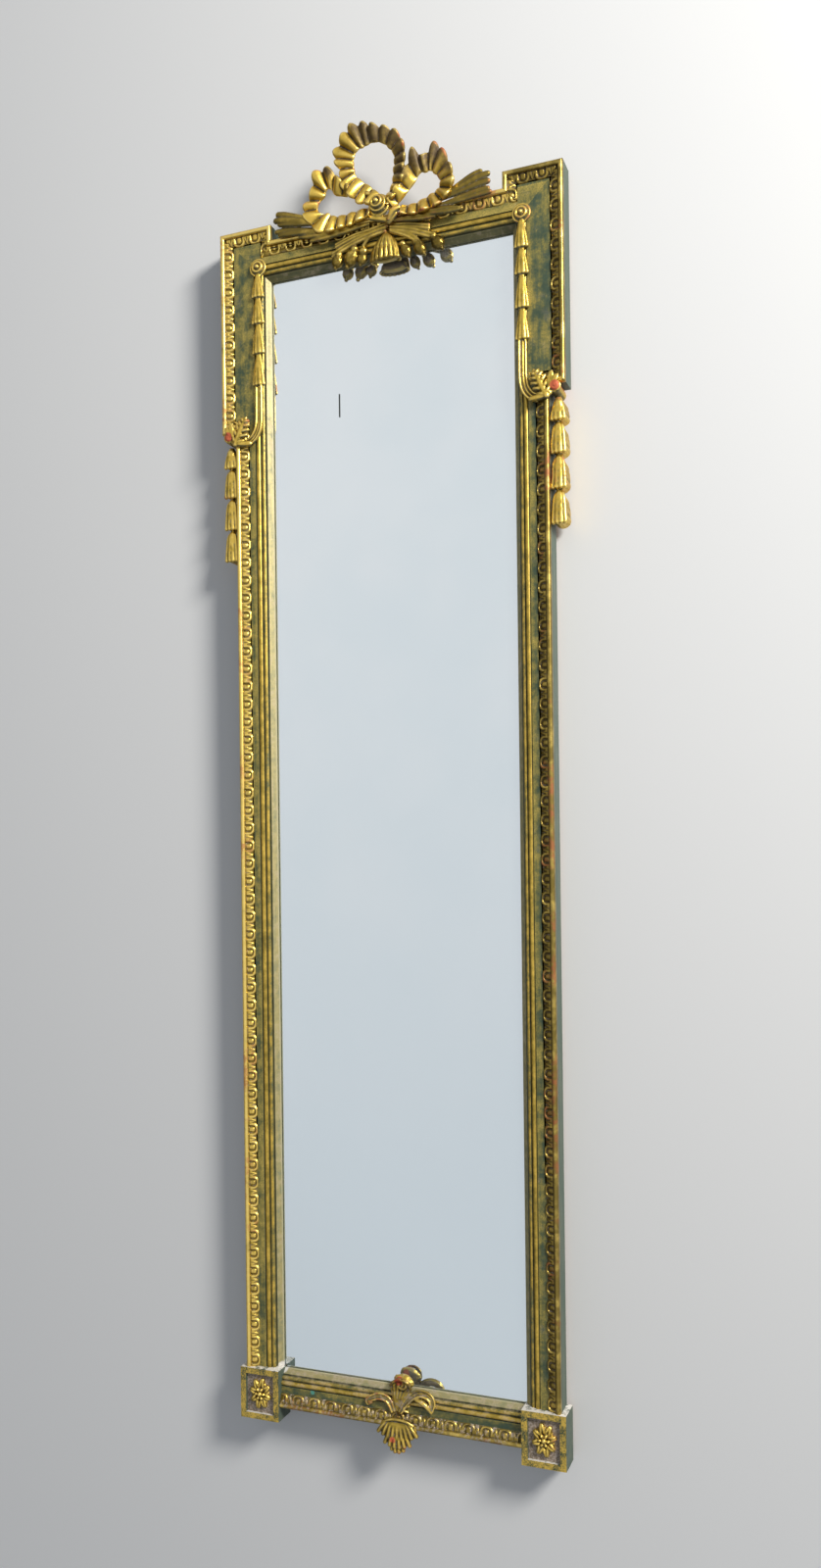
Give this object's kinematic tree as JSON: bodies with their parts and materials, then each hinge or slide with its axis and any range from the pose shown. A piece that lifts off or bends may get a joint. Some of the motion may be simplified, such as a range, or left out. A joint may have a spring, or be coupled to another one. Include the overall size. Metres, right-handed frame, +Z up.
{
  "type": "pier mirror",
  "caption": "Tall narrow wall mirror in a green and gilt carved frame with crossetted ears, ribbon bow crest, husk drops, rosette corner blocks and swinging hanging rings.",
  "frame": {"origin": "middle of the top rail's flat back, where the frame rests on the wall", "axes": "+Z up the height of the mirror, +Y backwards out of the frame's back into the wall, so the glass faces -Y"},
  "size_m": [0.39, 0.0451, 1.4027],
  "materials": {
    "painted_wood": "worn grey-green paint with dust in the recesses",
    "block_paint": "worn olive paint with gilt edges",
    "gilt_moulding": "worn gilding over green paint and red bole",
    "sight_gilding": "worn gilding, dusty hollow",
    "gilt_carving": "satin gold leaf over red bole",
    "raw_wood": "bare wood",
    "backboard_wood": "old bare softwood board",
    "iron_fittings": "dull aged iron",
    "glass_plate": "clear polished plate",
    "silvering": "silvered"
  },
  "bodies": {
    "frame": {"left_stile": "painted_wood", "right_stile": "painted_wood", "top_rail": "painted_wood", "bottom_rail": "painted_wood", "left_ear": "painted_wood", "right_ear": "painted_wood", "left_corner_block": "block_paint", "right_corner_block": "block_paint", "corner_dowels": "raw_wood", "mitre_keys": "raw_wood", "left_leaf_moulding": "gilt_moulding", "right_leaf_moulding": "gilt_moulding", "top_leaf_moulding": "gilt_moulding", "bottom_leaf_moulding": "gilt_moulding", "left_sight_moulding": "sight_gilding", "right_sight_moulding": "sight_gilding", "top_sight_moulding": "sight_gilding", "bottom_sight_moulding": "sight_gilding", "left_rosette": "gilt_carving", "right_rosette": "gilt_carving", "crest_bow": "gilt_carving", "crest_knot": "gilt_carving", "left_leaf_spray": "gilt_carving", "right_leaf_spray": "gilt_carving", "left_bud_spray": "gilt_carving", "right_bud_spray": "gilt_carving", "crest_bell": "gilt_carving", "left_inner_drop": "gilt_carving", "right_inner_drop": "gilt_carving", "left_ear_scroll": "gilt_carving", "right_ear_scroll": "gilt_carving", "left_outer_drop": "gilt_carving", "right_outer_drop": "gilt_carving", "base_acanthus": "gilt_carving", "base_palmette": "gilt_carving", "mirror_glass": "glass_plate", "silvering": "silvering", "setting_blocks": "raw_wood", "left_backboard": "backboard_wood", "right_backboard": "backboard_wood", "backboard_brads": "iron_fittings", "left_hanger_plate": "iron_fittings", "right_hanger_plate": "iron_fittings", "hanger_screws": "iron_fittings"},
    "left_ring": {"left_hanger_ring": "iron_fittings"},
    "right_ring": {"right_hanger_ring": "iron_fittings"}
  },
  "joints": [
    {"name": "left_ring_swing", "type": "hinge", "parent": "frame", "child": "left_ring", "pos_m": [-0.162, 0.0033, -0.23], "axis": [1, 0, 0], "range_deg": [0, 180]},
    {"name": "right_ring_swing", "type": "hinge", "parent": "frame", "child": "right_ring", "pos_m": [0.162, 0.0033, -0.23], "axis": [1, 0, 0], "range_deg": [0, 180]}
  ]
}
